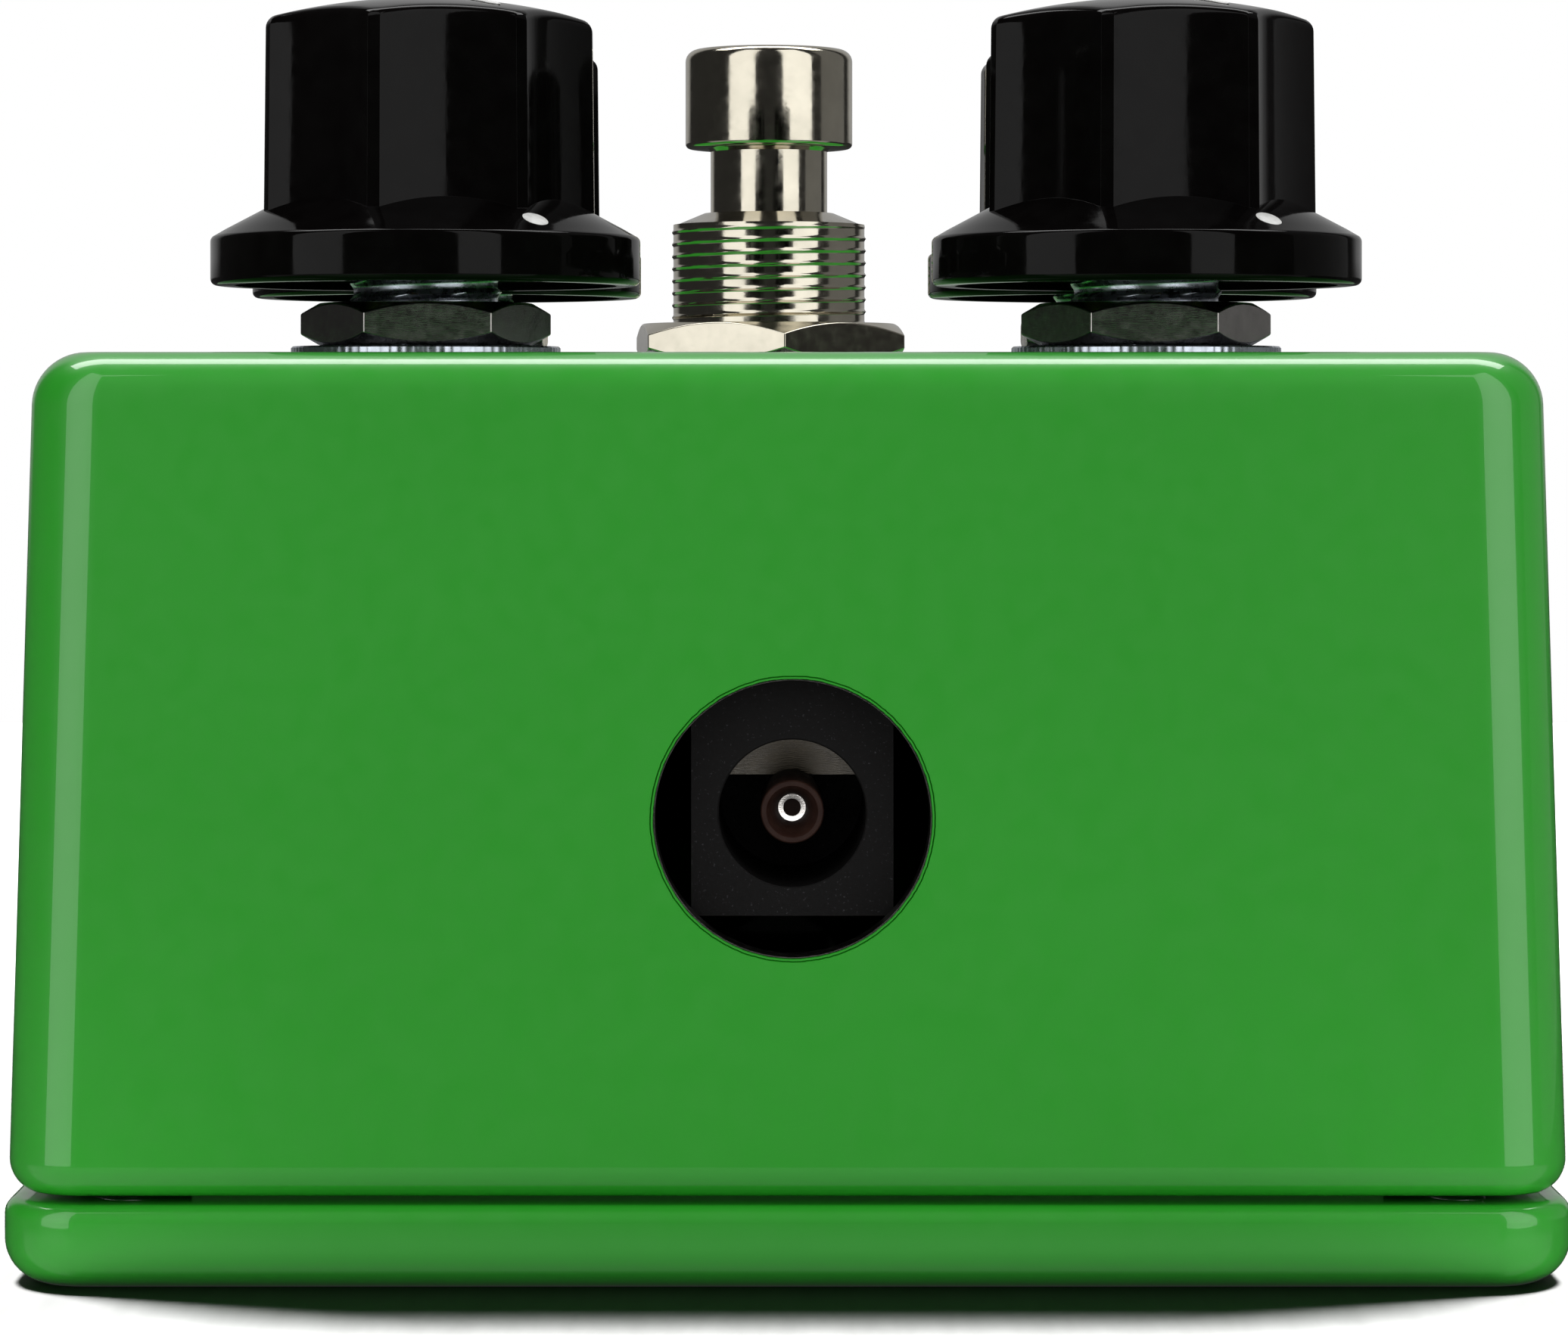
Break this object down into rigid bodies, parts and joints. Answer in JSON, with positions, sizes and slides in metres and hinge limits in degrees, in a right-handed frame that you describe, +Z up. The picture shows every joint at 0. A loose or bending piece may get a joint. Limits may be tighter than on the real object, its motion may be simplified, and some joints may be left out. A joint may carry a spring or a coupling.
{
  "type": "guitar effects pedal",
  "caption": "Gloss green die-cast guitar effects pedal with skirted fluted knobs, a latching footswitch, side audio sockets and a power inlet in its end wall.",
  "frame": {"origin": "centre of the underside of the base plate, on the plane the pedal stands on", "axes": "+Z up through the top face, -Y the end wall with the power inlet, +Y the footswitch end where the player stands, +X the output socket side"},
  "size_m": [0.074, 0.122, 0.0589],
  "materials": {
    "green_enamel": "gloss",
    "knob_plastic": "gloss",
    "black_moulding": "matte",
    "black_sleeve": "satin",
    "nickel_chrome": "polished",
    "dark_nickel": "satin",
    "bright_zinc": "satin",
    "steel": "satin",
    "brass": "satin",
    "circuit_board": "satin",
    "light_epoxy": "gloss",
    "ribbon_insulation": "satin"
  },
  "bodies": {
    "housing": {"enclosure_shell": "green_enamel", "base_plate": "green_enamel", "base_plate_screw_1": "steel", "base_plate_screw_2": "steel", "base_plate_screw_3": "steel", "base_plate_screw_4": "steel", "pot_case_front_left": "bright_zinc", "pot_washer_front_left": "bright_zinc", "pot_nut_front_left": "dark_nickel", "pot_case_front_right": "bright_zinc", "pot_washer_front_right": "bright_zinc", "pot_nut_front_right": "dark_nickel", "pot_case_rear_left": "bright_zinc", "pot_washer_rear_left": "bright_zinc", "pot_nut_rear_left": "dark_nickel", "pot_case_rear_right": "bright_zinc", "pot_washer_rear_right": "bright_zinc", "pot_nut_rear_right": "dark_nickel", "footswitch_bushing": "nickel_chrome", "footswitch_body": "black_moulding", "footswitch_spring": "steel", "footswitch_washer": "bright_zinc", "footswitch_nut": "nickel_chrome", "input_socket_body": "black_moulding", "input_socket_bushing": "nickel_chrome", "input_socket_contact": "brass", "input_socket_washer": "bright_zinc", "input_socket_nut": "nickel_chrome", "output_socket_body": "black_moulding", "output_socket_bushing": "nickel_chrome", "output_socket_contact": "brass", "output_socket_washer": "bright_zinc", "output_socket_nut": "nickel_chrome", "power_socket_body": "black_moulding", "power_socket_pin": "dark_nickel", "power_socket_contact": "dark_nickel", "indicator_light": "light_epoxy", "main_board": "circuit_board", "amplifier_chip": "black_moulding", "capacitor_1": "black_sleeve", "capacitor_2": "black_sleeve", "switch_board": "circuit_board", "board_ribbon": "ribbon_insulation"},
    "knob_front_left_turning": {"knob_front_left": "knob_plastic", "knob_insert_front_left": "brass", "knob_set_screw_front_left": "steel", "pot_shaft_front_left": "bright_zinc"},
    "knob_front_right_turning": {"knob_front_right": "knob_plastic", "knob_insert_front_right": "brass", "knob_set_screw_front_right": "steel", "pot_shaft_front_right": "bright_zinc"},
    "knob_rear_left_turning": {"knob_rear_left": "knob_plastic", "knob_insert_rear_left": "brass", "knob_set_screw_rear_left": "steel", "pot_shaft_rear_left": "bright_zinc"},
    "knob_rear_right_turning": {"knob_rear_right": "knob_plastic", "knob_insert_rear_right": "brass", "knob_set_screw_rear_right": "steel", "pot_shaft_rear_right": "bright_zinc"},
    "footswitch_button_moving": {"footswitch_button": "nickel_chrome"}
  },
  "joints": [
    {"name": "knob_front_left_turn", "type": "hinge", "parent": "housing", "child": "knob_front_left_turning", "pos_m": [-0.0166, -0.0384, 0.049], "axis": [0, 0, 1], "range_deg": [-188, 112]},
    {"name": "knob_front_right_turn", "type": "hinge", "parent": "housing", "child": "knob_front_right_turning", "pos_m": [0.0166, -0.0384, 0.049], "axis": [0, 0, 1], "range_deg": [-184, 116]},
    {"name": "knob_rear_left_turn", "type": "hinge", "parent": "housing", "child": "knob_rear_left_turning", "pos_m": [-0.0172, -0.0154, 0.049], "axis": [0, 0, 1], "range_deg": [-137, 163]},
    {"name": "knob_rear_right_turn", "type": "hinge", "parent": "housing", "child": "knob_rear_right_turning", "pos_m": [0.0172, -0.0154, 0.049], "axis": [0, 0, 1], "range_deg": [-137, 163]},
    {"name": "footswitch_press", "type": "slide", "parent": "housing", "child": "footswitch_button_moving", "axis": [0, 0, -1], "range_m": [0, 0.003], "stiffness_N_per_m": 3000, "springref_m": -0.002, "deforming": ["footswitch_spring"]}
  ]
}
